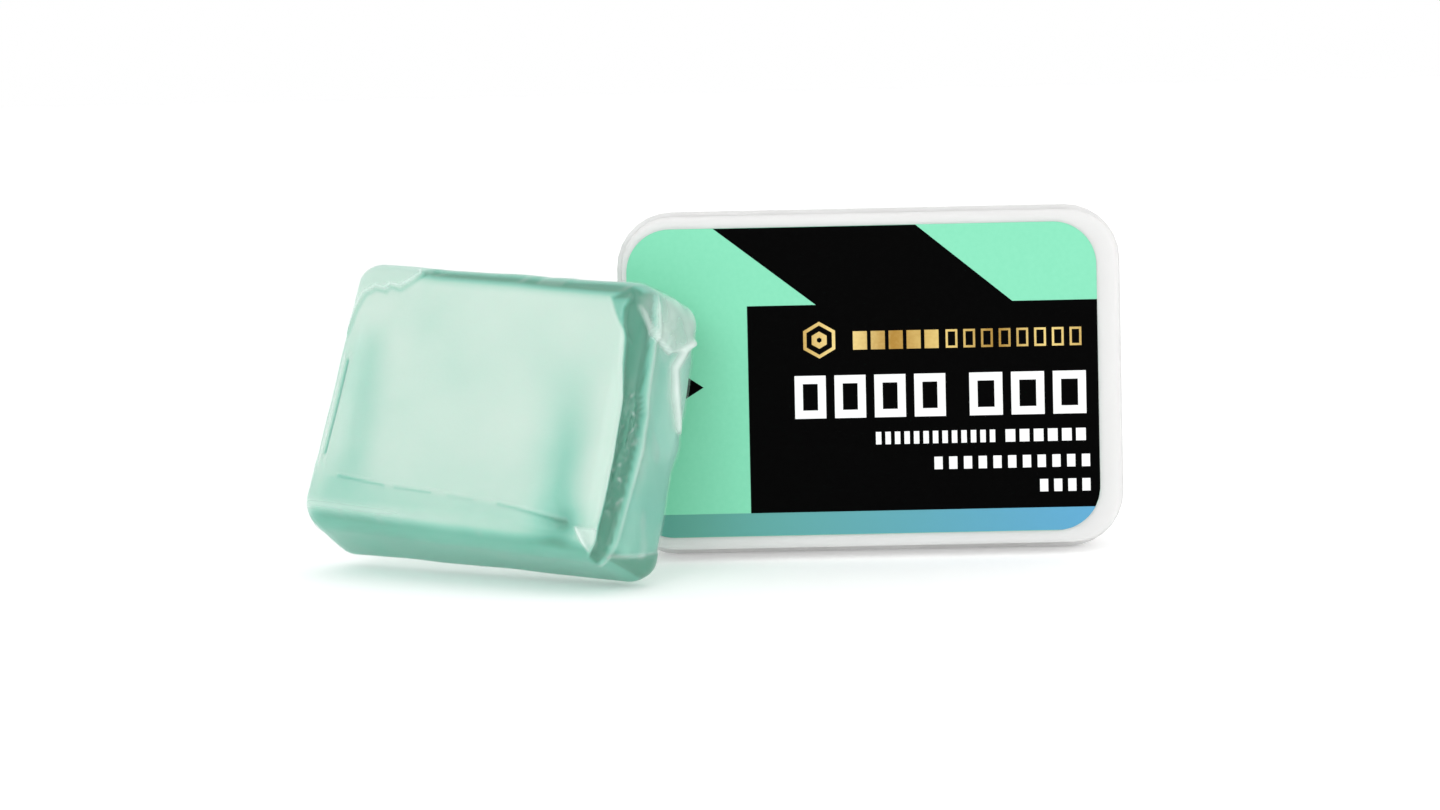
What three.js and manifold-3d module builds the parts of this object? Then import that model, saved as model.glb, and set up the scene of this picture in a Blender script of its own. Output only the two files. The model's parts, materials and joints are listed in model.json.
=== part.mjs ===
// Detailing clay bar with its storage case.
// The case stands on its long side with the label to the front, and leans back until the tray's rear
// edge meets the ground. The film-wrapped bar stands in front of it on its own long edge and leans
// back towards the lid. Millimetres, +Z up, -Y to the front, origin under the middle of the whole.
import * as THREE from 'three';
import { mergeVertices } from 'three/addons/utils/BufferGeometryUtils.js';
import Module from 'manifold-3d';

const wasm = await Module();
wasm.setup();

// ---- Driving dimensions of the case. Its own frame has x across, z up the label and y into the case,
// with y = 0 on the parting plane, the lid at y < 0 and the tray at y > 0.
const CASE_WIDTH = 94;
const CASE_HEIGHT = 64;
const CASE_CORNER = 10.3;
const LID_DEPTH = 9;
const TRAY_DEPTH = 17;
const WALL = 1.2;
const PARTING_GAP = 0.3;
const CORNER_STEPS = 7;

// Insets are measured inwards from the outline that the two rims share.
const RIM_THICK = 1.4;
const RIM_STEP = 0.1;
const LID_WALL_INSET = 0.9;
const LID_FACE_INSET = 1.2;
const LID_EDGE_RADIUS = 1.2;
const LID_INNER_CHAMFER = 0.4;
const TRAY_WALL_INSET = 1.0;
const TRAY_FLOOR_INSET = 1.3;
const TRAY_EDGE_RADIUS = 2.5;
const TRAY_INNER_CHAMFER = 1.2;
const EDGE_STEPS = 4;

// How far a cutting body runs past the surface it opens, and how far two joined bodies share material.
const CUT_PAST = 1;
const SHARED = 0.5;

// The tray's locating lip stands up inside the lid.
const LIP_INSET = 2.7;
const LIP_THICK = 0.8;
const LIP_HEIGHT = 2.5;

// ---- Hinge: two lugs on the lid clip over pegs that are moulded across pockets in the tray's wall.
const HINGE_X = 24;
const HINGE_Y = 4.0;
const HINGE_Z = CASE_HEIGHT / 2 - 1.5;
const LUG_RADIUS = 1.5;
const LUG_WIDTH = 5.2;
const LUG_BORE = 1.0;
const ARM_THICK = 1.6;
const PEG_RADIUS = 0.7;
const POCKET_WIDTH = 6.0;
const POCKET_END_Y = HINGE_Y + 1.9;
const POCKET_FLOOR_Z = 28.6;
const CHEEK = 1.2;
const BOSS_BELOW_WALL = 0.3;
const POCKET_START_Y = 0.05;
const ROUND_SIDES = 20;

// ---- Closure: a snap bead on the lid sits behind a bead on the lip, over a thumb notch in the rim.
const BEAD_LENGTH = 16;
const BEAD_RADIUS = 0.3;
const BEAD_PROUD = 0.12;
const LID_BEAD_Y = -0.9;
const THUMB_NOTCH_WIDTH = 16;
const THUMB_NOTCH_DEPTH = 0.9;
const NOTCH_MARGIN = 0.2;

// ---- Label: a printed sticker on the lid's flat face, a little off centre.
const LABEL_WIDTH = 86.6;
const LABEL_HEIGHT = 56.9;
const LABEL_CORNER = 8.0;
const LABEL_THICK = 0.2;
const LABEL_GAP = 0.05;
const LABEL_SHIFT_X = -1.7;

// ---- Bar: a hand-pressed brick of clay, in its own frame with x along it, y through it and z up it,
// and the middle of its lower front edge at the origin.
const BAR_LENGTH = 65;
const BAR_THICK = 19.5;
const BAR_HEIGHT = 51;
const BAR_EDGE_RADIUS = 5;
const BAR_TURN = THREE.MathUtils.degToRad(-26);
const BAR_LEAN = THREE.MathUtils.degToRad(-24);
const BAR_PLACE = new THREE.Vector3(-77.4, -34.6, 0);

// How far pressing by hand has moved each corner off the true brick: [left/right, front/back, low/high].
const BAR_CORNERS = [
  { at: [-1, -1, -1], moved: [-0.8, 0, 3.0] },
  { at: [1, -1, -1], moved: [-0.3, 0, -1.0] },
  { at: [-1, -1, 1], moved: [1.7, 0, 2.6] },
  { at: [1, -1, 1], moved: [-0.8, 0, -1.3] },
  { at: [-1, 1, -1], moved: [-1.2, 0, -0.6] },
  { at: [1, 1, -1], moved: [2.0, 0, -2.2] },
  { at: [-1, 1, 1], moved: [1.6, 0, 2.0] },
  { at: [1, 1, 1], moved: [1.0, 0, 0] },
];
const BAR_STEPS = [14, 6, 12];
const EDGE_ROW = 0.4;

// ---- Film: a clear wrap around the bar, open along the fold at the bar's right end.
const FILM_GAP = 0.3;
const FILM_THICK = 0.25;
const FILM_SLIT_LENGTH = 28;
const FILM_SLIT_WIDTH = 1.2;
const FILM_SLIT_DEPTH = 12;
const FILM_SLIT_PLACE = 0.3;

const material = (color, roughness, opacity = 1) =>
  new THREE.MeshStandardMaterial({ color, roughness, metalness: 0, opacity, transparent: opacity < 1 });

// ---- Closed bodies: each is built from its surface, then joined to others or cut by them.
function toSolid(geometry) {
  const bare = geometry.clone();
  bare.deleteAttribute('normal');
  bare.deleteAttribute('uv');
  const merged = mergeVertices(bare, 1e-5);
  return new wasm.Manifold(new wasm.Mesh({
    numProp: 3,
    vertProperties: new Float32Array(merged.attributes.position.array),
    triVerts: new Uint32Array(merged.index.array),
  }));
}

function toGeometry(solid) {
  const mesh = solid.getMesh();
  const geometry = new THREE.BufferGeometry();
  geometry.setAttribute('position', new THREE.BufferAttribute(mesh.vertProperties, 3));
  geometry.setIndex(new THREE.BufferAttribute(mesh.triVerts, 1));
  geometry.computeVertexNormals();
  return geometry;
}

function makeMesh(name, solid, look) {
  const mesh = new THREE.Mesh(toGeometry(solid), look);
  mesh.name = name;
  return mesh;
}

// A rounded rectangle in x and z, wound so that a loft along +y faces outwards.
function outline(halfWidth, halfHeight, radius) {
  const points = [];
  for (let corner = 0; corner < 4; corner += 1) {
    const signX = corner === 0 || corner === 3 ? 1 : -1;
    const signZ = corner < 2 ? 1 : -1;
    for (let step = 0; step <= CORNER_STEPS; step += 1) {
      const angle = (Math.PI / 2) * (corner + step / CORNER_STEPS);
      points.push([
        signX * (halfWidth - radius) + radius * Math.cos(angle),
        signZ * (halfHeight - radius) + radius * Math.sin(angle),
      ]);
    }
  }
  return points;
}

// A closed body through rounded rectangles, each a depth y and an inset from the case's outline.
function loft(stations) {
  const rings = stations.map(([, inset]) =>
    outline(CASE_WIDTH / 2 - inset, CASE_HEIGHT / 2 - inset, CASE_CORNER - inset));
  const count = rings[0].length;
  const position = [];
  rings.forEach((ring, row) => ring.forEach(([x, z]) => position.push(x, stations[row][0], z)));
  const index = [];
  for (let row = 0; row + 1 < rings.length; row += 1) {
    for (let i = 0; i < count; i += 1) {
      const next = (i + 1) % count;
      const a = row * count + i;
      const b = row * count + next;
      index.push(a, a + count, b, b, a + count, b + count);
    }
  }
  const last = (rings.length - 1) * count;
  for (let i = 1; i + 1 < count; i += 1) {
    index.push(0, i, i + 1);
    index.push(last, last + i + 1, last + i);
  }
  const geometry = new THREE.BufferGeometry();
  geometry.setAttribute('position', new THREE.Float32BufferAttribute(position, 3));
  geometry.setIndex(index);
  return toSolid(geometry);
}

// A quarter round from the end face at endY to the wall, as loft stations from the end face outwards.
function roundedEdge(endY, wallInset, radius, inwards) {
  const stations = [];
  for (let step = 0; step <= EDGE_STEPS; step += 1) {
    const angle = (Math.PI / 2) * (step / EDGE_STEPS);
    stations.push([
      endY + inwards * radius * (1 - Math.cos(angle)),
      wallInset + radius * (1 - Math.sin(angle)),
    ]);
  }
  return stations;
}

function block(width, depth, height, x, y, z) {
  return toSolid(new THREE.BoxGeometry(width, depth, height).translate(x, y, z));
}

// A round bar along x.
function rod(radius, length, x, y, z) {
  const shape = new THREE.CylinderGeometry(radius, radius, length, ROUND_SIDES);
  return toSolid(shape.rotateZ(Math.PI / 2).translate(x, y, z));
}

const hingeSides = [-HINGE_X, HINGE_X];

function lidSolid() {
  const outer = loft([
    ...roundedEdge(-LID_DEPTH, LID_FACE_INSET, LID_EDGE_RADIUS, 1),
    [-RIM_THICK, LID_WALL_INSET],
    [-RIM_THICK + RIM_STEP, 0],
    [0, 0],
  ]);
  const inner = loft([
    [-LID_DEPTH + WALL, LID_FACE_INSET + WALL + LID_INNER_CHAMFER],
    [-LID_DEPTH + 2 * WALL, LID_FACE_INSET + WALL],
    [CUT_PAST, LID_WALL_INSET + WALL],
  ]);
  let lid = outer.subtract(inner);
  for (const x of hingeSides) {
    const armZ = HINGE_Z + LUG_RADIUS - ARM_THICK / 2;
    const arm = block(LUG_WIDTH, HINGE_Y + RIM_THICK, ARM_THICK, x, (HINGE_Y - RIM_THICK) / 2, armZ);
    const lug = arm.add(rod(LUG_RADIUS, LUG_WIDTH, x, HINGE_Y, HINGE_Z));
    lid = lid.add(lug).subtract(rod(LUG_BORE, LUG_WIDTH + 2 * CUT_PAST, x, HINGE_Y, HINGE_Z));
  }
  const wallZ = -CASE_HEIGHT / 2 + LID_WALL_INSET + WALL;
  const bead = rod(BEAD_RADIUS, BEAD_LENGTH, 0, LID_BEAD_Y, wallZ - BEAD_RADIUS + BEAD_PROUD);
  return lid.add(bead);
}

function traySolid() {
  const lipInner = LIP_INSET + LIP_THICK;
  const rimEnd = PARTING_GAP + RIM_THICK;
  const outer = loft([
    [PARTING_GAP, 0],
    [rimEnd, 0],
    [rimEnd + RIM_STEP, TRAY_WALL_INSET],
    ...roundedEdge(TRAY_DEPTH, TRAY_FLOOR_INSET, TRAY_EDGE_RADIUS, -1).reverse(),
  ]);
  const lip = loft([[-LIP_HEIGHT, LIP_INSET], [PARTING_GAP + SHARED, LIP_INSET]]);
  const wallInner = loft([
    [rimEnd, TRAY_WALL_INSET + WALL],
    [TRAY_DEPTH - 2 * WALL, TRAY_FLOOR_INSET + WALL],
    [TRAY_DEPTH - WALL, TRAY_FLOOR_INSET + WALL + TRAY_INNER_CHAMFER],
  ]);
  const mouth = loft([[-LIP_HEIGHT - CUT_PAST, lipInner], [rimEnd + SHARED, lipInner]]);
  let tray = outer.add(lip).subtract(wallInner).subtract(mouth);
  const bossWidth = POCKET_WIDTH + 2 * CHEEK;
  const bossTop = CASE_HEIGHT / 2 - TRAY_WALL_INSET - BOSS_BELOW_WALL;
  const bossLow = POCKET_FLOOR_Z - WALL;
  const bossEnd = POCKET_END_Y + WALL;
  const topZ = CASE_HEIGHT / 2 + CUT_PAST;
  for (const x of hingeSides) {
    const boss = block(bossWidth, bossEnd - rimEnd, bossTop - bossLow, x,
      (bossEnd + rimEnd) / 2, (bossTop + bossLow) / 2);
    const cheeks = rod(LUG_RADIUS, bossWidth, x, HINGE_Y, HINGE_Z);
    const pocket = block(POCKET_WIDTH, POCKET_END_Y - POCKET_START_Y, topZ - POCKET_FLOOR_Z, x,
      (POCKET_END_Y + POCKET_START_Y) / 2, (topZ + POCKET_FLOOR_Z) / 2);
    const peg = rod(PEG_RADIUS, POCKET_WIDTH + CHEEK, x, HINGE_Y, HINGE_Z);
    tray = tray.add(boss).add(cheeks).subtract(pocket).add(peg);
  }
  const lipZ = -CASE_HEIGHT / 2 + LIP_INSET;
  const bead = rod(BEAD_RADIUS, BEAD_LENGTH, 0, -LIP_HEIGHT + BEAD_RADIUS, lipZ + BEAD_RADIUS - BEAD_PROUD);
  const notch = block(THUMB_NOTCH_WIDTH, RIM_THICK + 2 * NOTCH_MARGIN, 2 * THUMB_NOTCH_DEPTH, 0,
    PARTING_GAP + RIM_THICK / 2, -CASE_HEIGHT / 2);
  return tray.add(bead).subtract(notch);
}

function labelSolid() {
  const edge = new THREE.Shape();
  const x = LABEL_WIDTH / 2;
  const y = LABEL_HEIGHT / 2;
  const r = LABEL_CORNER;
  edge.absarc(x - r, y - r, r, 0, Math.PI / 2);
  edge.absarc(-x + r, y - r, r, Math.PI / 2, Math.PI);
  edge.absarc(-x + r, -y + r, r, Math.PI, 1.5 * Math.PI);
  edge.absarc(x - r, -y + r, r, 1.5 * Math.PI, 2 * Math.PI);
  const sheet = new THREE.ExtrudeGeometry(edge, {
    depth: LABEL_THICK, bevelEnabled: false, curveSegments: CORNER_STEPS,
  });
  sheet.rotateX(Math.PI / 2).translate(LABEL_SHIFT_X, -LID_DEPTH - LABEL_GAP, 0);
  return toSolid(sheet);
}

// Places along one side of the brick: closer together where its edges are rounded.
function stops(half, radius, steps) {
  const flat = half - radius;
  return Array.from({ length: steps + 1 }, (_, i) => {
    if (i === 0 || i === steps) return i === 0 ? -half : half;
    if (i === 1 || i === steps - 1) return (i === 1 ? -1 : 1) * (half - radius * EDGE_ROW);
    return -flat + (2 * flat * (i - 2)) / (steps - 4);
  });
}

// The bar's surface moved out by grow: a rounded brick whose corners are then pushed by BAR_CORNERS.
function barSolid(grow) {
  const half = [BAR_LENGTH / 2, BAR_THICK / 2, BAR_HEIGHT / 2];
  const radius = BAR_EDGE_RADIUS + grow;
  const places = half.map((h, axis) => stops(h + grow, radius, BAR_STEPS[axis]));
  const shape = new THREE.BoxGeometry(2, 2, 2, ...BAR_STEPS);
  const position = shape.attributes.position;
  for (let i = 0; i < position.count; i += 1) {
    const unit = [position.getX(i), position.getY(i), position.getZ(i)];
    const point = unit.map((u, axis) => places[axis][Math.round(((u + 1) / 2) * BAR_STEPS[axis])]);
    const core = point.map((p, axis) => {
      const limit = half[axis] - BAR_EDGE_RADIUS;
      return Math.min(limit, Math.max(-limit, p));
    });
    const out = point.map((p, axis) => p - core[axis]);
    const scale = radius / Math.hypot(...out);
    const round = core.map((c, axis) => c + out[axis] * scale);
    const moved = [0, 0, 0];
    for (const corner of BAR_CORNERS) {
      const share = corner.at.reduce((w, sign, axis) => w * (1 + (sign * round[axis]) / half[axis]) / 2, 1);
      corner.moved.forEach((value, axis) => { moved[axis] += share * value; });
    }
    position.setXYZ(i, round[0] + moved[0], round[1] + moved[1] + half[1], round[2] + moved[2] + half[2]);
  }
  return toSolid(shape);
}

function filmSolid() {
  const slit = block(FILM_SLIT_DEPTH, FILM_SLIT_WIDTH, FILM_SLIT_LENGTH,
    BAR_LENGTH / 2, BAR_THICK * FILM_SLIT_PLACE, BAR_HEIGHT / 2);
  return barSolid(FILM_GAP + FILM_THICK).subtract(barSolid(FILM_GAP)).subtract(slit);
}

// The case leans back onto the line that touches both the tray's rim and its rounded rear edge.
function caseLean() {
  const along = TRAY_DEPTH - TRAY_EDGE_RADIUS - PARTING_GAP - RIM_THICK;
  const rise = TRAY_FLOOR_INSET + TRAY_EDGE_RADIUS;
  return Math.atan2(rise, along) - Math.asin(TRAY_EDGE_RADIUS / Math.hypot(along, rise));
}

function setOnGround(group) {
  group.updateMatrixWorld(true);
  group.position.z -= new THREE.Box3().setFromObject(group, true).min.z;
}

function makeCase() {
  const group = new THREE.Group();
  group.add(makeMesh('case_lid', lidSolid(), material(0xf2f3f2, 0.42, 0.6)));
  group.add(makeMesh('case_tray', traySolid(), material(0xf2f3f2, 0.42, 0.6)));
  group.add(makeMesh('lid_label', labelSolid(), material(0x88e2bc, 0.35)));
  group.rotation.x = -caseLean();
  setOnGround(group);
  return group;
}

function makeBar() {
  const group = new THREE.Group();
  group.add(makeMesh('clay_bar', barSolid(0), material(0xb4dccc, 0.5)));
  group.add(makeMesh('film_wrap', filmSolid(), material(0xe6f6f0, 0.12, 0.35)));
  group.rotation.set(BAR_LEAN, 0, BAR_TURN, 'ZYX');
  group.position.copy(BAR_PLACE);
  setOnGround(group);
  return group;
}

function makeModel() {
  const model = new THREE.Group();
  model.add(makeCase(), makeBar());
  model.updateMatrixWorld(true);
  const box = new THREE.Box3().setFromObject(model, true);
  const middle = box.getCenter(new THREE.Vector3());
  model.position.set(-middle.x, -middle.y, -box.min.z);
  return model;
}

export default makeModel();
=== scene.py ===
"""Looks for a detailing clay bar and its storage case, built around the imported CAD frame.

Shapes are worked out in millimetres and placed in the frame in metres: +Z up, -Y to the front.
"""
import json
import math

import bpy
import numpy as np
from mathutils import Matrix, Vector


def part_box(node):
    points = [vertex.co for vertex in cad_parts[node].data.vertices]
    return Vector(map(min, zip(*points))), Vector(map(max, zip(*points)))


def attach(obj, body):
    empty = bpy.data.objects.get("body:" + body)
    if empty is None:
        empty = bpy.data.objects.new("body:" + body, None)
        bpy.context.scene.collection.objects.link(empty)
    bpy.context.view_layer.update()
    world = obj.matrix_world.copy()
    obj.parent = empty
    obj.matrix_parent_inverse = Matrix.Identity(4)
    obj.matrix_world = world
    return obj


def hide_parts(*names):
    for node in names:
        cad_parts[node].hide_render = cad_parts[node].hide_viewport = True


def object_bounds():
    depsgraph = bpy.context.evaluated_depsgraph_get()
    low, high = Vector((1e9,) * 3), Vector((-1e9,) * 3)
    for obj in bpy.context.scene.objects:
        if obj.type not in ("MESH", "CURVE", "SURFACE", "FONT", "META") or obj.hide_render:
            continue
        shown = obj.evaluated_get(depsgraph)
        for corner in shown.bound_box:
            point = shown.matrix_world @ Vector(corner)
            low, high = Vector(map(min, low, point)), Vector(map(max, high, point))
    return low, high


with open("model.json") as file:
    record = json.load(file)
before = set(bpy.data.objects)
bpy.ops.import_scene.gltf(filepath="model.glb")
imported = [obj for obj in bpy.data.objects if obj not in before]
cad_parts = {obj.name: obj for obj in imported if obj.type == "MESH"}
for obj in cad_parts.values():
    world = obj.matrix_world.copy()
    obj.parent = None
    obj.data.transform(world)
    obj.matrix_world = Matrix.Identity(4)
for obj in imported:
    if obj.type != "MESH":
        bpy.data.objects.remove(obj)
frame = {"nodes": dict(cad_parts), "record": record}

CAD_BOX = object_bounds()
MM = 0.001

# ---- Bar, in its own frame: x along it, y through it from the front, z up it, origin at the middle of
# its lower front edge. These sizes are the CAD solid's.
BAR_SIZE = np.array([65.0, 19.5, 51.0])
BAR_EDGE_RADIUS = 5.0
BAR_TURN = math.radians(-26)
BAR_LEAN = math.radians(-24)
BAR_CORNERS = [
    ((-1, -1, -1), (-0.8, 0, 3.0)),
    ((1, -1, -1), (-0.3, 0, -1.0)),
    ((-1, -1, 1), (1.7, 0, 2.6)),
    ((1, -1, 1), (-0.8, 0, -1.3)),
    ((-1, 1, -1), (-1.2, 0, -0.6)),
    ((1, 1, -1), (2.0, 0, -2.2)),
    ((-1, 1, 1), (1.6, 0, 2.0)),
    ((1, 1, 1), (1.0, 0, 0)),
]
BAR_GRID = (170, 52, 134)

# What each visible piece of the bar does to the CAD brick: how far it is moved out, how deep its groove
# goes, and how strong its fine relief is.
CLAY_SHAPE = (-0.15, 1.5, 1.0)
FILM_SHAPE = (0.12, 1.25, 1.1)

# ---- Lines and outlines on the wide front face. Lines marked (z, x) give x at each height.
DISH_HALF = (27, 21)
DISH_MIDDLE_Z = 27
LEFT_VALLEY = [(5, -22.6), (14, -22.9), (25, -23.4), (39, -24.6), (46, -25.0)]  # (z, x)
LEFT_VALLEY_WIDTH = 4.4
RIGHT_VALLEY = [(6, 20.8), (14, 20.8), (27, 19.4), (38, 18.4)]  # (z, x)
RIGHT_VALLEY_WIDTH = [(12, 4.4), (38, 7.0)]  # (z, width)
RIDGE_X = 27
CREASE = [(-25.5, 11.2), (-14.4, 9.7), (-4.5, 8.9), (4, 8.1), (9.2, 7.6), (23.4, 5.3)]  # (x, z)
CREASE_WIDTH = 0.28
CREASE_DASHES = [(-25, -15, 0.5, 1.0), (-12.5, -5, 0.6, 0.8), (-1, 4, 0.6, 0.5), (9.5, 23, 0.5, 0.9)]
NICK_TOP = (33.5, -28.3)  # (z, x)
NICK_SLOPE = 0.038
CORNER_FLAP = [
    (-34, 56), (-19.0, 56), (-15.9, 50.1), (-17.6, 48.6), (-19.6, 47.3), (-21.7, 47.8),
    (-22.8, 46.9), (-24.8, 47.3), (-27.2, 46.0), (-28.8, 42.5), (-29.9, 38.5), (-34, 37),
]
TOP_STRIP = [(-15.9, 50.1), (1.4, 48.8), (26.1, 47.1)]  # (x, z)
PETAL = [(24.6, 46.4), (29.5, 48.5), (33, 46), (33, 38), (30.0, 38.4), (27.3, 41.4), (26.2, 43.2)]
LOW_DENT = (23.5, 5.0)
VEE_LEFT = [(-1.3, 29.6), (4.2, 25.7)]  # (z, x)
VEE_RIGHT_X = 29.8

# ---- Lines and outlines on the right end, in y and z.
END_LEAF = [(0.0, 46.5), (5, 51), (15, 51), (18.6, 46), (18.2, 43.6), (13.0, 41.0), (10.2, 39.4), (4.5, 40.4)]
END_STREAK = [(26, 15.6), (31, 13.8), (37.2, 12.4), (41, 13.8), (44.4, 16.8)]  # (z, y)
END_FOLD = [(3, -0.2), (10, 1.9), (19.5, 5.6)]  # (y, z)

# ---- The groove between front and right end: its two edges and its share of the depth, by height.
GROOVE_FRONT_EDGE = [
    (-1, -2.1), (4, -2.4), (9, -1.8), (17, -1.4), (28, -1.6), (34, -3.2), (39, -3.9), (42.5, -5.2),
    (44.5, -5.4), (47, -3.6),
]
GROOVE_END_EDGE = [
    (-1.7, 1.0), (2.4, 2.6), (9.6, 3.6), (18, 5.2), (22.4, 6.3), (26.8, 6.8), (30, 5.4), (38, 4.8),
    (41, 4.2), (47, 2.0),
]
GROOVE_SHARE = [(0, 0.6), (10, 0.9), (20, 1.0), (30, 1.0), (40, 0.8), (46, 0.5)]

# ---- What each feature adds at full strength: height in mm; painted shade towards the deep colour, where a
# negative value paints lighter; and the film's milkiness where it is folded over, with painted highlights.
# Painted shade: darker in the valleys, the crease and the ledge below it, the nick, the petal, the low dent,
# just outside the flap, along the top strip, towards the bottom and at the lower left; the ridge is painted
# lighter. Painted highlights on the film: the crease, nick and flap lips, the vee and the glint.
FRONT_WEIGHTS = {
    "dish": (-0.9, 0, 0),
    "left_valley": (-0.6, 0.3, 0),
    "right_valley": (-0.75, 0.38, 0),
    "ridge": (0.35, -0.1, 0),
    "crease": (-0.16, 0.3, 0),
    "crease_lip": (0, 0, 0.12),
    "ledge": (0.1, 0.12, 0),
    "nick": (-0.4, 0.8, 0),
    "nick_rim": (0.15, 0, 0.5),
    "flap": (0.3, 0.1, 0.2),
    "flap_shadow": (0, 0.3, 0),
    "flap_lip": (0, 0, 0.45),
    "strip": (-0.35, 0.62, 0),
    "petal": (-0.35, 0.6, 0),
    "low_dent": (-0.6, 0.35, 0),
    "low_left": (0, 0.14, 0),
    "foot": (0, 0.14, 0),
    "vee": (0.2, 0, 0.45),
    "glint": (0.35, 0, 0.6),
}
# Painted shade: the whole end face, the hollow, below the low fold and towards the bottom are darker; the
# leaf, the light line and the streak are painted lighter. Painted highlights on the film: a sheen on the
# leaf, its lip, the low fold's lip and the streak.
END_WEIGHTS = {
    "face": (0, 0.38, 0),
    "bulge": (1.1, 0, 0),
    "leaf": (0.5, -0.12, 0),
    "leaf_sheen": (0, 0, 0.6),
    "leaf_lip": (0, 0, 0.5),
    "streak": (0.5, -0.25, 0.9),
    "hollow": (-0.7, 0.12, 0),
    "light_line": (0, -0.1, 0),
    "low_fold": (0.3, 0.45, 0),
    "low_fold_lip": (0, 0, 0.35),
    "waist": (-0.25, 0, 0),
    "foot": (0, 0.25, 0),
}
# Painted shade on the underside, top, back and left end and along the top front edge (brow); cloud is random
# tone. The film is milky on the pleats, the left fold and crumples, with a painted highlight along the lower
# edge.
OTHER_WEIGHTS = {
    "long_waves": (0.28, 0, 0),
    "short_waves": (0.06, 0, 0),
    "cloud": (0, 0.04, 0),
    "under": (0, 0.75, 0),
    "over": (0, 0.3, 0),
    "left": (0, 0.3, 0),
    "back": (0, 0.25, 0),
    "brow": (0, 0.5, 0),
    "pleats": (0.3, 0, 0.5),
    "left_fold": (0.35, 0, 0.5),
    "crumple": (0.12, 0, 0.16),
    "lower_edge": (0, 0, 0.4),
}

# ---- Case: how far its moulded edges are rounded over, in metres.
MOULD_RADIUS = 0.0008

# ---- Label, in its own plane: x across, z up, origin at its middle.
LABEL_HALF = (43.3, 28.45)
LABEL_CORNER = 8.0
LABEL_THICK = 0.2
PRINT_THICK = 0.03
PRINT_SUNK = 0.02
LABEL_TOP = 28.4
PANEL_LOW, PANEL_HIGH = -24.2, 14.0
PANEL_LEFT = -21.2
BAND_TOP = (-27.2, 10.1)
BAND_FOOT = (-8.5, 27.7)
ARROW = [(-33.4, 1.8), (-33.4, -3.2), (-29.5, -0.8)]
CURVE_POINTS = 25

# Rows of word blocks: left, right, middle height, block height, number of blocks, gap.
GOLD_BOLD = (-1.8, 14.0, 7.3, 3.4, 5, 0.7)
GOLD_LIGHT = (15.3, 40.3, 7.3, 3.4, 8, 1.1)
GOLD_STROKE = 0.4
LARGE_WORDS = [(-12.7, 15.1, -3.0, 7.9, 4, 1.6), (19.5, 41.0, -3.0, 7.9, 3, 1.6)]
LARGE_STROKE = 1.5
SMALL_WORDS = [
    (2.1, 24.1, -10.8, 2.3, 13, 0.75),
    (26.0, 40.8, -10.8, 2.3, 6, 0.8),
    (12.8, 41.5, -15.6, 2.3, 11, 1.2),
    (32.2, 41.5, -20.1, 2.3, 4, 1.1),
]
EMBLEM_MIDDLE = (-8.0, 7.5)
EMBLEM_RINGS = [(3.4, 2.7), (1.6, 0.5)]
EMBLEM_SIDES = 6
# Where the gold's colours start and end, and where the blue's start, in metres from the label's left edge.
GOLD_RUN = (0.030, 0.087)
BLUE_START = 0.012

# ---- Light, in metres and watts. The world is dimmer towards the front.
WORLD_FRONT, WORLD_BACK = 0.5, 1.0
LIGHTS = [
    ("key", (-0.45, -0.75, 0.50), 0.7, 2.1),
    ("fill", (0.10, -0.95, 0.10), 0.7, 1.4),
    ("side", (0.85, -0.15, 0.40), 0.45, 0.8),
]
LIGHT_AIM = (0, 0, 0.03)
FLOOR_REACH = 12.0
FLOOR_CELLS = 24

# ---- Camera: where it stands round the aim point, how far it rolls, and where it aims from the box's middle.
CAMERA_AZIMUTH = math.radians(0.3)
CAMERA_ELEVATION = math.radians(7.0)
CAMERA_ROLL = math.radians(-1.23)
CAMERA_DISTANCE = 0.50459
CAMERA_LENS = 67.5
AIM_OFFSET = (0.00059, 0.01016, -0.0039)
SENSOR_WIDTH = 36.0


# ---- Node helpers
def srgb(code):
    """A hex colour as the linear RGBA that shader sockets take."""
    parts = [int(code[i:i + 2], 16) / 255 for i in (0, 2, 4)]
    return tuple((c / 12.92 if c <= 0.04045 else ((c + 0.055) / 1.055) ** 2.4) for c in parts) + (1.0,)


def new_material(name, **values):
    """A material with one Principled shader, whose sockets take the given constants."""
    mat = bpy.data.materials.new(name)
    mat.use_nodes = True
    tree = mat.node_tree
    shader = tree.nodes["Principled BSDF"]
    for key, value in values.items():
        shader.inputs[key.replace("_", " ")].default_value = value
    return mat, tree, shader


def add(tree, kind, *links, **settings):
    """Adds a node. Each link is (input, value or output socket); settings are the node's properties."""
    made = tree.nodes.new("ShaderNode" + kind)
    for key, value in settings.items():
        setattr(made, key, value)
    for target, value in links:
        socket = made.inputs[target]
        if isinstance(value, bpy.types.NodeSocket):
            tree.links.new(value, socket)
        else:
            socket.default_value = value
    return made


def noise(tree, scale, detail=3.0, roughness=0.5):
    """Noise over the object's own coordinates; scale is in features per metre."""
    place = add(tree, "TexCoord").outputs["Object"]
    made = add(tree, "TexNoise", ("Vector", place), ("Scale", scale), ("Detail", detail),
               ("Roughness", roughness))
    return made.outputs["Fac"]


def spread(tree, value, low, high):
    """Maps 0..1 to low..high."""
    made = add(tree, "MapRange", ("Value", value), ("To Min", low), ("To Max", high))
    return made.outputs["Result"]


def mixed(tree, factor, first, second):
    """Mixes two colours."""
    made = add(tree, "Mix", data_type="RGBA")
    for index, value in ((0, factor), (6, first), (7, second)):
        if isinstance(value, bpy.types.NodeSocket):
            tree.links.new(value, made.inputs[index])
        else:
            made.inputs[index].default_value = value
    return made.outputs[2]


def bumped(tree, shader, height, strength, distance):
    """Bumps the shader's normal and returns the bump node; distance is in metres."""
    made = add(tree, "Bump", ("Height", height), ("Strength", strength), ("Distance", distance))
    tree.links.new(made.outputs["Normal"], shader.inputs["Normal"])
    return made


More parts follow.
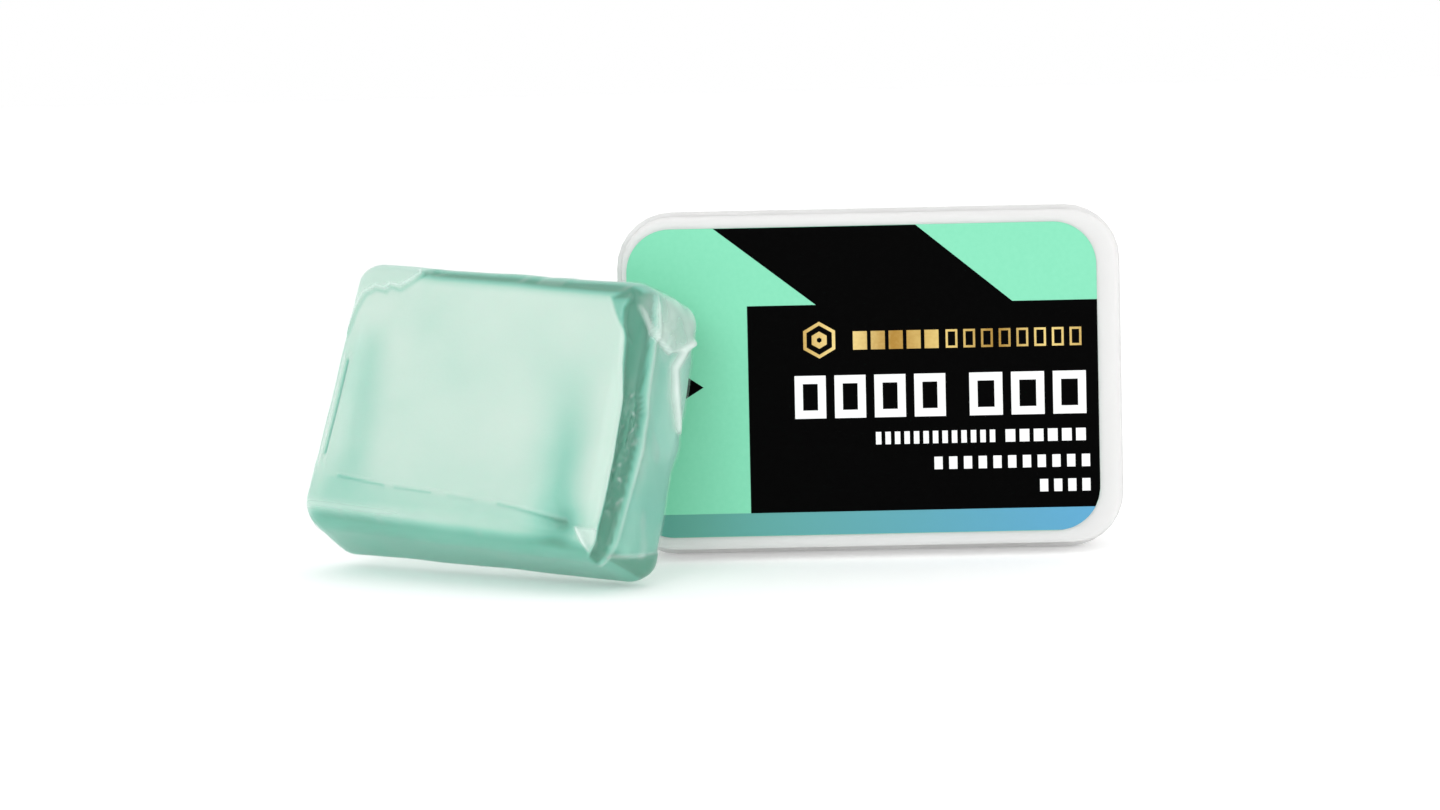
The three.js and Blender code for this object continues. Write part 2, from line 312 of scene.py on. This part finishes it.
# ---- Materials
def clay_material():
    mat, tree, shader = new_material(
        "clay_mint", Subsurface_Weight=0.35, Subsurface_Radius=(0.9, 1.6, 1.3), Subsurface_Scale=0.002,
        Roughness=0.42, Coat_Weight=0.5, Coat_Roughness=0.2)
    # The clay's colour runs from light milky mint to deep mint with the painted shade carried in the bar's
    # attribute, plus random tone from the noise.
    painted_shade_tone = add(tree, "Attribute", attribute_name="painted_shade_tone").outputs["Fac"]
    cloud = spread(tree, noise(tree, 70.0, 4.0), -0.10, 0.10)
    grain = spread(tree, noise(tree, 900.0, 2.0), -0.03, 0.03)
    total = add(tree, "Math", (0, add(tree, "Math", (0, painted_shade_tone), (1, cloud)).outputs[0]), (1, grain))
    ramp = add(tree, "ValToRGB", ("Fac", total.outputs[0]))
    stops = ramp.color_ramp.elements
    stops[0].position, stops[0].color = 0.0, srgb("C0D7CB")
    stops[1].position, stops[1].color = 1.0, srgb("2E866C")
    for place, code in ((0.25, "A2CCBC"), (0.5, "7CC0AC"), (0.75, "58AB95")):
        stops.new(place).color = srgb(code)
    tree.links.new(ramp.outputs["Color"], shader.inputs["Base Color"])
    tree.links.new(spread(tree, noise(tree, 300.0), 0.34, 0.52), shader.inputs["Roughness"])
    bumped(tree, shader, noise(tree, 1500.0, 3.0), 0.12, 0.0002)
    return mat


def film_material():
    mat, tree, shader = new_material("film_clear", Roughness=0.08, IOR=1.5, Specular_IOR_Level=0.9)
    # Alpha and whiteness follow the film's point value: milky where the film is folded over, and painted
    # highlights on lips, rims, glints and streaks.
    fold_and_highlight = add(tree, "Attribute", attribute_name="fold_and_highlight").outputs["Fac"]
    edge = add(tree, "LayerWeight", ("Blend", 0.15)).outputs["Facing"]
    layers = spread(tree, fold_and_highlight, 0.05, 0.8)
    rim = add(tree, "Math", (0, edge), (1, 0.14), operation="MULTIPLY").outputs[0]
    alpha = add(tree, "Math", (0, layers), (1, rim), use_clamp=True).outputs[0]
    tree.links.new(alpha, shader.inputs["Alpha"])
    cloud = noise(tree, 220.0, 3.0)
    tree.links.new(mixed(tree, cloud, srgb("DDF3EA"), srgb("F4FCF9")), shader.inputs["Base Color"])
    tree.links.new(spread(tree, noise(tree, 160.0), 0.05, 0.16), shader.inputs["Roughness"])
    bumped(tree, shader, noise(tree, 260.0, 4.0), 0.25, 0.0004)
    return mat


def case_material():
    mat, tree, shader = new_material(
        "case_milky", IOR=1.49, Subsurface_Weight=0.55, Subsurface_Radius=(1.0, 1.0, 1.0),
        Subsurface_Scale=0.003, Alpha=0.8, Specular_IOR_Level=0.45)
    cloud = noise(tree, 45.0, 3.0)
    tree.links.new(mixed(tree, cloud, srgb("F1F0EF"), srgb("F8F8F7")), shader.inputs["Base Color"])
    tree.links.new(spread(tree, noise(tree, 500.0), 0.34, 0.46), shader.inputs["Roughness"])
    grain = bumped(tree, shader, noise(tree, 1800.0, 2.0), 0.08, 0.0002)
    soft_edges = add(tree, "Bevel", ("Radius", MOULD_RADIUS), samples=6)
    tree.links.new(soft_edges.outputs["Normal"], grain.inputs["Normal"])
    return mat


def print_material(name, first, second, metallic=0.0, roughness=0.42, specular=0.12):
    """Printed ink: two near colours with the fine mottle of a coated sticker."""
    mat, tree, shader = new_material(name, Metallic=metallic, Specular_IOR_Level=specular)
    mottle = mixed(tree, noise(tree, 1200.0, 2.0), srgb(first), srgb(second))
    tree.links.new(mottle, shader.inputs["Base Color"])
    gloss = spread(tree, noise(tree, 400.0), roughness - 0.05, roughness + 0.05)
    tree.links.new(gloss, shader.inputs["Roughness"])
    bumped(tree, shader, noise(tree, 2500.0, 2.0), 0.05, 0.0001)
    return mat


def gradient_material(name, colours, start, end, metallic=0.0, roughness=0.4, specular=0.2):
    """Ink that runs through the colours along x, from start to end in metres."""
    mat, tree, shader = new_material(name, Metallic=metallic, Specular_IOR_Level=specular)
    place = add(tree, "TexCoord").outputs["Object"]
    along = add(tree, "SeparateXYZ", ("Vector", place)).outputs["X"]
    part = add(tree, "MapRange", ("Value", along), ("From Min", start), ("From Max", end)).outputs["Result"]
    speck = spread(tree, noise(tree, 1500.0, 2.0), -0.03, 0.03)
    total = add(tree, "Math", (0, part), (1, speck), use_clamp=True).outputs[0]
    ramp = add(tree, "ValToRGB", ("Fac", total))
    stops = ramp.color_ramp.elements
    stops[0].color, stops[1].color = srgb(colours[0]), srgb(colours[-1])
    for index, code in enumerate(colours[1:-1], 1):
        stops.new(index / (len(colours) - 1)).color = srgb(code)
    tree.links.new(ramp.outputs["Color"], shader.inputs["Base Color"])
    gloss = spread(tree, noise(tree, 400.0), roughness - 0.05, roughness + 0.05)
    tree.links.new(gloss, shader.inputs["Roughness"])
    return mat


# ---- Mesh helpers
def make_object(name, points, faces, mat, attributes=None, smooth=True):
    """A mesh object from points in metres, with float attributes on its points."""
    mesh = bpy.data.meshes.new(name)
    mesh.from_pydata([tuple(p) for p in points], [], [tuple(int(i) for i in f) for f in faces])
    for key, values in (attributes or {}).items():
        layer = mesh.attributes.new(key, "FLOAT", "POINT")
        layer.data.foreach_set("value", np.asarray(values, dtype=np.float32))
    mesh.polygons.foreach_set("use_smooth", [smooth] * len(mesh.polygons))
    mesh.materials.append(mat)
    mesh.update()
    made = bpy.data.objects.new(name, mesh)
    bpy.context.scene.collection.objects.link(made)
    return made


def box_surface(counts):
    """Lattice points and outward quads over the surface of a box with these many cells each way."""
    quads = []
    for axis in range(3):
        u, v = (axis + 1) % 3, (axis + 2) % 3
        for side in (0, 1):
            grid = np.zeros((counts[u] + 1, counts[v] + 1, 3), int)
            grid[..., u] = np.arange(counts[u] + 1)[:, None]
            grid[..., v] = np.arange(counts[v] + 1)[None, :]
            grid[..., axis] = side * counts[axis]
            cells = np.stack([grid[:-1, :-1], grid[1:, :-1], grid[1:, 1:], grid[:-1, 1:]], axis=2)
            quads.append((cells if side else cells[:, :, ::-1]).reshape(-1, 4, 3))
    corners = np.concatenate(quads).reshape(-1, 3)
    key = (corners[:, 0] * (counts[1] + 1) + corners[:, 1]) * (counts[2] + 1) + corners[:, 2]
    _, first, inverse = np.unique(key, return_index=True, return_inverse=True)
    return corners[first], inverse.reshape(-1, 4)


def step(low, high, value):
    """A smooth rise from 0 at low to 1 at high."""
    t = np.clip((value - low) / (high - low), 0, 1)
    return t * t * (3 - 2 * t)


def bell(offset, width):
    """A smooth hump of height 1 at offset 0."""
    return np.exp(-((offset / width) ** 2))


def window(value, low, high, soft):
    """1 between low and high, falling to 0 over soft on both sides."""
    return step(low - soft, low, value) * (1 - step(high, high + soft, value))


def curve(value, knots):
    """A broken line through (at, result) knots."""
    at, result = zip(*knots)
    return np.interp(value, at, result)


def depth_inside(a, b, polygon):
    """Distance of (a, b) from a polygon's edge, positive inside the polygon and negative outside."""
    nearest = np.full(a.shape, 1e9)
    inside = np.zeros(a.shape, bool)
    for (x0, y0), (x1, y1) in zip(polygon, polygon[1:] + polygon[:1]):
        dx, dy = x1 - x0, y1 - y0
        t = np.clip(((a - x0) * dx + (b - y0) * dy) / (dx * dx + dy * dy), 0, 1)
        nearest = np.minimum(nearest, np.hypot(a - x0 - t * dx, b - y0 - t * dy))
        crosses = (y0 > b) != (y1 > b)
        inside ^= crosses & (a < x0 + (b - y0) * dx / (dy if dy else 1e-9))
    return np.where(inside, nearest, -nearest)


def ripple(p, size, seed):
    """Soft irregular waves of about the given size in mm, between -1 and 1."""
    rng = np.random.default_rng(seed)
    total = np.zeros(len(p))
    for _ in range(7):
        way = rng.normal(size=3)
        way /= np.linalg.norm(way)
        length = size * rng.uniform(0.7, 1.6)
        total += np.sin(p @ way * 2 * math.pi / length + rng.uniform(0, 2 * math.pi))
    return total / 7 * 1.6


# ---- Bar and film
def bar_surface(grow):
    """The CAD bar's rounded brick, moved out by grow: points in the bar's frame, outward normals, quads."""
    lattice, faces = box_surface(BAR_GRID)
    half = BAR_SIZE / 2
    box = (lattice / np.array(BAR_GRID) * 2 - 1) * (half + grow)
    core = np.clip(box, -(half - BAR_EDGE_RADIUS), half - BAR_EDGE_RADIUS)
    out = box - core
    normal = out / np.linalg.norm(out, axis=1)[:, None]
    round_ = core + normal * (BAR_EDGE_RADIUS + grow)
    moved = np.zeros_like(round_)
    for signs, shift in BAR_CORNERS:
        share = np.prod((1 + np.array(signs) * round_ / half) / 2, axis=1)
        moved += share[:, None] * np.array(shift)
    return round_ + moved + half * np.array([0, 1, 1]), normal, faces


def weighted(face, masks, weights):
    """Adds up height, painted shade, and film milkiness with painted highlights: each feature's mask times
    its weights, within the face.
    """
    return [face * sum(mask * weights[name][part] for name, mask in masks.items()) for part in range(3)]


def front_features(p, normal):
    """Height, painted shade, and film milkiness with painted highlights of the wide front face."""
    x, z = p[:, 0], p[:, 2]
    crease_z = curve(x, CREASE)
    dashes = sum(share * window(x, low, high, soft) for low, high, soft, share in CREASE_DASHES)
    nick_x = NICK_TOP[1] - NICK_SLOPE * (NICK_TOP[0] - z)
    nick_rim = bell(x - nick_x + 0.7, 0.25) + 0.6 * bell(x - nick_x - 0.7, 0.25)
    flap_at = depth_inside(x, z, CORNER_FLAP)
    vee_x = curve(z, VEE_LEFT)
    dish_x = np.clip(1 - (x / DISH_HALF[0]) ** 2, 0, 1)
    dish_z = np.clip(1 - ((z - DISH_MIDDLE_Z) / DISH_HALF[1]) ** 2, 0, 1)
    masks = {
        "dish": dish_x * dish_z,
        "left_valley": bell(x - curve(z, LEFT_VALLEY), LEFT_VALLEY_WIDTH) * window(z, 16, 34, 10),
        "right_valley": bell(x - curve(z, RIGHT_VALLEY), curve(z, RIGHT_VALLEY_WIDTH)) * window(z, 8, 16, 24),
        "ridge": bell(x - RIDGE_X, 3.4) * window(z, 10, 26, 10),
        "crease": bell(z - crease_z, CREASE_WIDTH) * dashes,
        "crease_lip": bell(z - crease_z - 0.5, 0.3) * window(x, -25, 23, 1),
        "ledge": step(0.4, -0.8, z - crease_z) * window(x, -26, 23, 3),
        "nick": bell(x - nick_x, 0.3) * window(z, 15.5, 33, 0.6),
        "nick_rim": nick_rim * window(z, 14, 34, 1.5),
        "flap": step(-0.25, 0.25, flap_at),
        "flap_shadow": bell(flap_at + 0.5, 0.4),
        "flap_lip": bell(flap_at - 0.2, 0.25),
        "strip": step(-1.4, 1.4, z - curve(x, TOP_STRIP)) * window(x, -15, 30, 2),
        "petal": step(-0.3, 0.3, depth_inside(x, z, PETAL)),
        "low_dent": bell(np.hypot(x - LOW_DENT[0], z - LOW_DENT[1]), 3.0),
        "low_left": step(-10, -22, x) * step(20, 2, z),
        "foot": step(18, 3, z),
        "vee": step(-0.3, 0.3, x - vee_x) * step(-0.3, 0.3, VEE_RIGHT_X - x) * window(z, -1.0, 3.8, 0.8),
        "glint": bell(x - vee_x, 0.45) * window(z, -1.0, 4.0, 0.6),
    }
    return weighted(step(0.55, 0.92, -normal[:, 1]), masks, FRONT_WEIGHTS)


def end_features(p, normal):
    """Height, painted shade, and film milkiness with painted highlights of the right end, where the film is
    folded over.
    """
    y, z = p[:, 1], p[:, 2]
    leaf_at = depth_inside(y, z, END_LEAF)
    leaf = step(-0.3, 0.3, leaf_at)
    fold_z = curve(y, END_FOLD)
    masks = {
        "face": np.ones_like(y),
        "bulge": window(z, 25, 39, 7) * step(11, 18, y),
        "leaf": leaf,
        "leaf_sheen": leaf * (0.6 + 0.4 * ripple(p, 5.0, 11)),
        "leaf_lip": bell(leaf_at, 0.4),
        "streak": bell(y - curve(z, END_STREAK), 1.0) * window(z, 27, 43, 1.5),
        "hollow": window(z, 24, 38, 5) * bell(y - 9, 4),
        "light_line": bell(y - 7, 1.8),
        "low_fold": step(0.5, -0.5, z - fold_z),
        "low_fold_lip": bell(z - fold_z - 0.2, 0.4),
        "waist": bell(z - 27, 2.2) * bell(y - 17.5, 2.6),
        "foot": step(26, 6, z),
    }
    end = step(0.5, 0.9, normal[:, 0])
    height, painted_shade_and_tone, fold_and_highlight = weighted(1.0, masks, END_WEIGHTS)
    return end * height, end * painted_shade_and_tone, end * np.clip(fold_and_highlight, 0, 1)


def groove_features(p, normal, depth):
    """The open fold between the front and the right end. Across it, side runs from the front to the end."""
    x, y, z = p.T
    side = y - (BAR_SIZE[0] / 2 - x)
    first = curve(z, GROOVE_FRONT_EDGE)
    last = curve(z, GROOVE_END_EDGE)
    right = step(0.0, 0.3, normal[:, 0] - 0.0001) + step(-4, 0, side) * step(0.3, 0.8, -normal[:, 1])
    near = np.clip(right, 0, 1) * step(10, 6, y) * window(z, -0.5, 46, 2.5)
    inside = step(0, 0.9, side - first) * (1 - step(-0.9, 0, side - last)) * near
    rough = inside * window(z, 9, 28, 3)
    lips = near * (0.22 * bell(side - first + 0.5, 0.6) + 0.3 * bell(side - last - 0.6, 0.7))
    lumps = rough * (0.30 * ripple(p, 3.2, 3) + 0.16 * ripple(p, 1.6, 4))
    height = lips + lumps - depth * inside * curve(z, GROOVE_SHARE)
    # Painted shade fills the groove, with a little random tone; its lips are painted lighter and get painted
    # highlights on the film.
    painted_shade_and_tone = inside + 0.1 * rough * ripple(p, 2.2, 5) - 0.3 * lips
    fold_and_highlight = near * (0.12 * bell(side - first + 0.4, 0.35) + 0.3 * bell(side - last - 0.6, 0.5))
    fold_and_highlight += 0.34 * rough * step(0.4, 0.85, ripple(p, 1.9, 6))
    return height, painted_shade_and_tone, fold_and_highlight


def other_features(p, normal):
    """Soft unevenness all over, painted shade on the underside, top, back and left end, and a painted
    highlight along the lower edge.
    """
    x, y, z = p.T
    left = step(0.4, 0.9, -normal[:, 0])
    back = step(0.3, 0.9, normal[:, 1])
    off_front = (1 - step(0.75, 0.97, -normal[:, 1])) * (1 - step(0.45, 0.8, -normal[:, 2]))
    upright = p * np.array([1.0, 1.0, 0.45])
    masks = {
        "long_waves": ripple(p, 26, 1),
        "short_waves": ripple(p, 9, 2),
        "cloud": ripple(p, 17, 8),
        "under": step(0.35, 0.8, -normal[:, 2]),
        "over": step(0.35, 0.9, normal[:, 2]),
        "left": left,
        "back": back,
        "brow": bell(normal[:, 2] - 0.6, 0.38) * step(-0.1, 0.3, -normal[:, 1]) * step(-19, -13, x),
        "pleats": back * (bell(x - 0.06 * z + 2, 0.5) + bell(x - 0.02 * z - 14, 0.4)),
        "left_fold": left * (bell(y - 7 - 0.05 * z, 0.5) + 0.7 * bell(y - 13 + 0.04 * z, 0.5)),
        "crumple": step(0.35, 0.8, ripple(upright, 4.0, 9)) * off_front,
        "lower_edge": bell(normal[:, 2] + 0.36, 0.2) * step(0.1, 0.5, -normal[:, 1]) * step(8, -18, x),
    }
    return weighted(1.0, masks, OTHER_WEIGHTS)


def sculpted_bar(grow, groove_depth, sharpness):
    """Points in the bar's frame with painted shade, and film milkiness with painted highlights. Sharpness
    scales the fine relief.
    """
    p, normal, faces = bar_surface(grow)
    parts = [front_features(p, normal), end_features(p, normal), other_features(p, normal)]
    groove = groove_features(p, normal, groove_depth)
    height = sharpness * sum(part[0] for part in parts) + groove[0]
    painted_shade_and_tone = np.clip(sum(part[1] for part in parts) + groove[1], 0, 1)
    fold_and_highlight = np.clip(sum(part[2] for part in parts) + groove[2], 0, 1)
    return p + normal * height[:, None], faces, painted_shade_and_tone, fold_and_highlight


def bar_matrix():
    """Turns the bar's frame in mm into the CAD frame in metres, by matching the plain brick to its node."""
    turn = Matrix.Rotation(BAR_TURN, 4, "Z") @ Matrix.Rotation(BAR_LEAN, 4, "X")
    plain = bar_surface(0.0)[0] @ np.array(turn.to_3x3()).T * MM
    low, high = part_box("clay_bar")
    middle = (np.array(low) + np.array(high)) / 2
    shift = Vector(middle - (plain.min(axis=0) + plain.max(axis=0)) / 2)
    return Matrix.Translation(shift) @ turn @ Matrix.Scale(MM, 4)


def make_bar():
    place = np.array(bar_matrix())
    for name, shape, mat, node, slot in (
        ("clay_block", CLAY_SHAPE, clay_material(), "clay_bar", "clay"),
        ("film_sleeve", FILM_SHAPE, film_material(), "film_wrap", "clear_film"),
    ):
        p, faces, painted_shade_and_tone, fold_and_highlight = sculpted_bar(*shape)
        p = p @ place[:3, :3].T + place[:3, 3]
        # Each piece carries its painted shade, and its film milkiness with painted highlights, as point
        # attributes.
        piece = make_object(name, p, faces, mat, {"painted_shade_tone": painted_shade_and_tone, "fold_and_highlight": fold_and_highlight})
        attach(piece, "bar")
        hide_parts(node)


# ---- Label print
def label_frame():
    """The middle of the label's front face and its across, up and outward directions, from the frame."""
    out = -Vector(frame["record"]["mounts"][0]["axis"])
    across = Vector((1, 0, 0))
    low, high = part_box("lid_label")
    return (Vector(low) + Vector(high)) / 2, across, out.cross(across), out


def label_edge(z):
    """Half the label's width at height z."""
    past = max(0.0, abs(z) - (LABEL_HALF[1] - LABEL_CORNER))
    return LABEL_HALF[0] - LABEL_CORNER + math.sqrt(max(0.0, LABEL_CORNER ** 2 - past ** 2))


def rectangle(left, right, low, high):
    return [(left, low), (right, low), (right, high), (left, high)]


def blocks(left, right, middle, height, count, gap):
    """A word as plain blocks, one for each letter."""
    width = (right - left - gap * (count - 1)) / count
    starts = [left + i * (width + gap) for i in range(count)]
    return [rectangle(s, s + width, middle - height / 2, middle + height / 2) for s in starts]


def frame_of(outer, stroke):
    """A rectangle's outer and inner outline."""
    (left, low), (right, _), (_, high), _ = outer
    return outer, rectangle(left + stroke, right - stroke, low + stroke, high - stroke)


def ring(cx, cz, radius, inner, sides):
    """The outer and inner outline of a ring with this many sides, one corner at the top."""
    angles = [math.pi / 2 + 2 * math.pi * i / sides for i in range(sides)]
    return tuple([(cx + r * math.cos(a), cz + r * math.sin(a)) for a in angles] for r in (radius, inner))


def make_print(name, shapes, mat, layers):
    """Thin raised ink. A shape is an outline, or an outer and an inner outline with as many points."""
    middle, across, up, out = label_frame()
    top = LABEL_THICK / 2 + PRINT_THICK * layers
    points, faces = [], []
    for shape in shapes:
        loops = shape if isinstance(shape, tuple) else (shape,)
        base, count = len(points), len(loops[0])
        for loop in loops:
            for depth in (LABEL_THICK / 2 - PRINT_SUNK, top):
                points += [middle + (across * x + up * z + out * depth) * MM for x, z in loop]
        under, over = base, base + count
        for i in range(count):
            j = (i + 1) % count
            faces.append([under + i, under + j, over + j, over + i])
            if len(loops) == 2:
                inner_under, inner_over = base + 2 * count, base + 3 * count
                faces.append([inner_under + j, inner_under + i, inner_over + i, inner_over + j])
                faces.append([over + i, over + j, inner_over + j, inner_over + i])
                faces.append([under + j, under + i, inner_under + i, inner_under + j])
        if len(loops) == 1:
            faces.append([under + i for i in reversed(range(count))])
            faces.append([over + i for i in range(count)])
    piece = make_object(name, points, faces, mat, smooth=False)
    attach(piece, "lid")


def make_label():
    label = frame["nodes"]["lid_label"]
    label.material_slots[0].material = print_material("ink_mint", "7FD8B2", "87DDB9", specular=0.25)
    black = print_material("ink_black", "010101", "040404", specular=0.02, roughness=0.5)
    white = print_material("ink_white", "F6F7F7", "FFFFFF")
    (left, _, _), (right, _, _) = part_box("lid_label")
    gold = gradient_material(
        "ink_gold", ["B08A3C", "E8D08A", "A37A2C", "D9BE74", "9A7429", "E2C97F", "A98540"],
        left + GOLD_RUN[0], left + GOLD_RUN[1], metallic=0.35, roughness=0.35, specular=0.3)
    blue = gradient_material("ink_blue", ["5FA698", "5DA4B0", "5BA3CB"], left + BLUE_START, right)
    panel = [(label_edge(z), z) for z in np.linspace(PANEL_LOW, PANEL_HIGH, CURVE_POINTS)]
    panel += [(BAND_FOOT[1], PANEL_HIGH), (BAND_TOP[1], LABEL_TOP), (BAND_TOP[0], LABEL_TOP)]
    panel += [(BAND_FOOT[0], PANEL_HIGH), (PANEL_LEFT, PANEL_HIGH), (PANEL_LEFT, PANEL_LOW)]
    heights = np.linspace(-LABEL_TOP, PANEL_LOW, CURVE_POINTS)
    stripe = [(label_edge(z), z) for z in heights] + [(-label_edge(z), z) for z in reversed(heights)]
    make_print("print_black", [panel, ARROW], black, 1)
    make_print("print_stripe", [stripe], blue, 1)
    emblem = [ring(*EMBLEM_MIDDLE, radius, inner, EMBLEM_SIDES) for radius, inner in EMBLEM_RINGS]
    light = [frame_of(outer, GOLD_STROKE) for outer in blocks(*GOLD_LIGHT)]
    make_print("print_gold", blocks(*GOLD_BOLD) + light + emblem, gold, 2)
    words = [frame_of(outer, LARGE_STROKE) for row in LARGE_WORDS for outer in blocks(*row)]
    words += [block for row in SMALL_WORDS for block in blocks(*row)]
    make_print("print_white", words, white, 2)


# ---- Case
def make_case():
    plastic = case_material()
    for name in ("case_lid", "case_tray"):
        frame["nodes"][name].material_slots[0].material = plastic


# ---- Stage, light and camera
def make_floor():
    mat, tree, shader = new_material("floor_white", Roughness=0.7, Specular_IOR_Level=0.1,
                                    Emission_Color=(1, 1, 1, 1), Emission_Strength=0.2)
    pale = mixed(tree, noise(tree, 6.0, 2.0), srgb("F4F4F4"), srgb("F8F8F8"))
    tree.links.new(pale, shader.inputs["Base Color"])
    row = FLOOR_CELLS + 1
    ticks = [FLOOR_REACH * (2 * i / FLOOR_CELLS - 1) for i in range(row)]
    points = [(x, y, 0.0) for x in ticks for y in ticks]
    faces = [[i * row + j, (i + 1) * row + j, (i + 1) * row + j + 1, i * row + j + 1]
             for i in range(FLOOR_CELLS) for j in range(FLOOR_CELLS)]
    make_object("floor", points, faces, mat)


def area_light(name, place, size, power):
    data = bpy.data.lights.new(name, "AREA")
    data.shape, data.size, data.energy = "DISK", size, power
    made = bpy.data.objects.new(name, data)
    bpy.context.scene.collection.objects.link(made)
    made.location = place
    made.rotation_mode = "QUATERNION"
    made.rotation_quaternion = (Vector(LIGHT_AIM) - Vector(place)).to_track_quat("-Z", "Y")


def make_lights():
    world = bpy.data.worlds.new("studio")
    bpy.context.scene.world = world
    world.use_nodes = True
    tree = world.node_tree
    background = tree.nodes["Background"]
    background.inputs["Color"].default_value = (1, 1, 1, 1)
    way = add(tree, "SeparateXYZ", ("Vector", add(tree, "TexCoord").outputs["Generated"]))
    towards_back = add(tree, "MapRange", ("Value", way.outputs["Y"]), ("From Min", -1.0), ("From Max", -0.35),
                       ("To Min", WORLD_FRONT), ("To Max", WORLD_BACK), interpolation_type="SMOOTHSTEP")
    tree.links.new(towards_back.outputs["Result"], background.inputs["Strength"])
    for light in LIGHTS:
        area_light(*light)


def make_camera():
    middle = (Vector(CAD_BOX[0]) + Vector(CAD_BOX[1])) / 2
    aim = middle + Vector(AIM_OFFSET)
    level = math.cos(CAMERA_ELEVATION)
    turn = Vector((math.sin(CAMERA_AZIMUTH), -math.cos(CAMERA_AZIMUTH), 0))
    back = turn * level + Vector((0, 0, math.sin(CAMERA_ELEVATION)))
    data = bpy.data.cameras.new("camera")
    data.lens, data.sensor_width = CAMERA_LENS, SENSOR_WIDTH
    made = bpy.data.objects.new("camera", data)
    bpy.context.scene.collection.objects.link(made)
    made.rotation_mode = "QUATERNION"
    level_view = (-back).to_track_quat("-Z", "Y")
    made.rotation_quaternion = level_view @ Matrix.Rotation(CAMERA_ROLL, 3, "Z").to_quaternion()
    made.location = aim + back * CAMERA_DISTANCE
    bpy.context.scene.camera = made


make_bar()
make_label()
make_case()
make_floor()
make_lights()
make_camera()
bpy.context.scene.view_settings.view_transform = "Standard"
